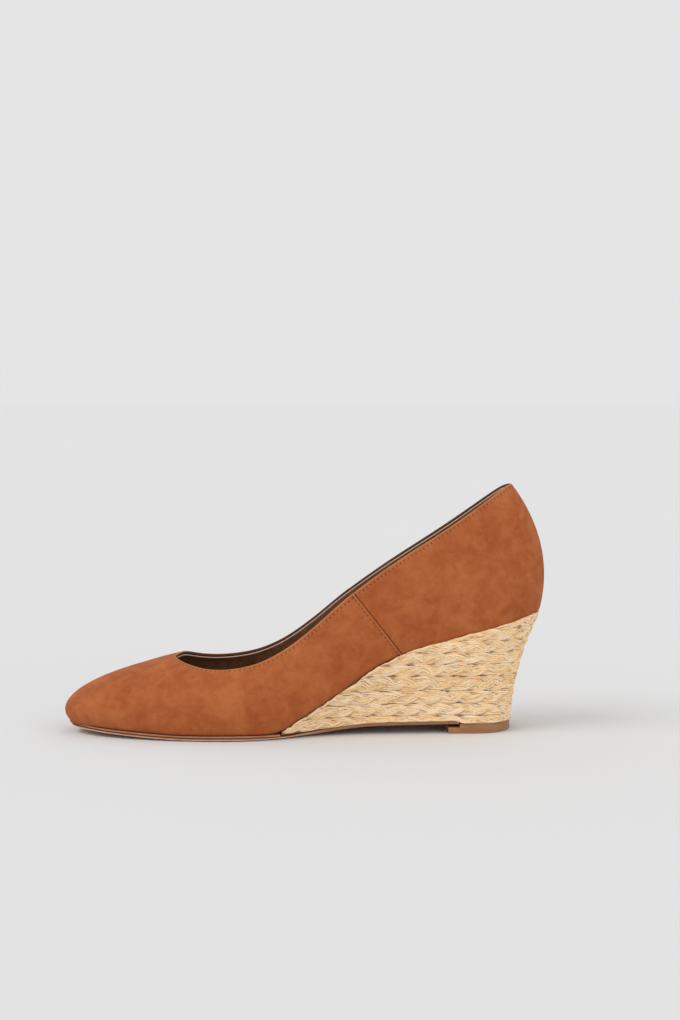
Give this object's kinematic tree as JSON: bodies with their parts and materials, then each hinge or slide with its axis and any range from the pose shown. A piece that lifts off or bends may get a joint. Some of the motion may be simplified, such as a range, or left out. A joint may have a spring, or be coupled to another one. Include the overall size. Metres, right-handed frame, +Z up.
{
  "type": "wedge pump",
  "caption": "Closed-toe wedge pump for the right foot: soft brushed-leather upper with a low vamp and diagonal side seams, on a wedge heel wrapped in plaited straw, with a thin leather sole.",
  "frame": {"origin": "centre of the shoe's bounding box in plan, on the floor that it stands on", "axes": "+X from toe to heel, +Y to the outer side of the foot, +Z up"},
  "size_m": [0.2405, 0.0782, 0.1235],
  "materials": {
    "upper_nubuck": "soft matt nap, tan",
    "insole_leather": "smooth, dark brown",
    "straw_braid": "dry plaited straw, light natural",
    "rand_leather": "smooth edge, tan",
    "sole_leather": "smooth edge, brown",
    "top_piece_rubber": "fine matt, brown"
  },
  "bodies": {
    "root": {"upper": "upper_nubuck", "insole": "insole_leather", "wedge": "straw_braid", "rand": "rand_leather", "outsole": "sole_leather", "top_piece": "top_piece_rubber"}
  },
  "joints": []
}
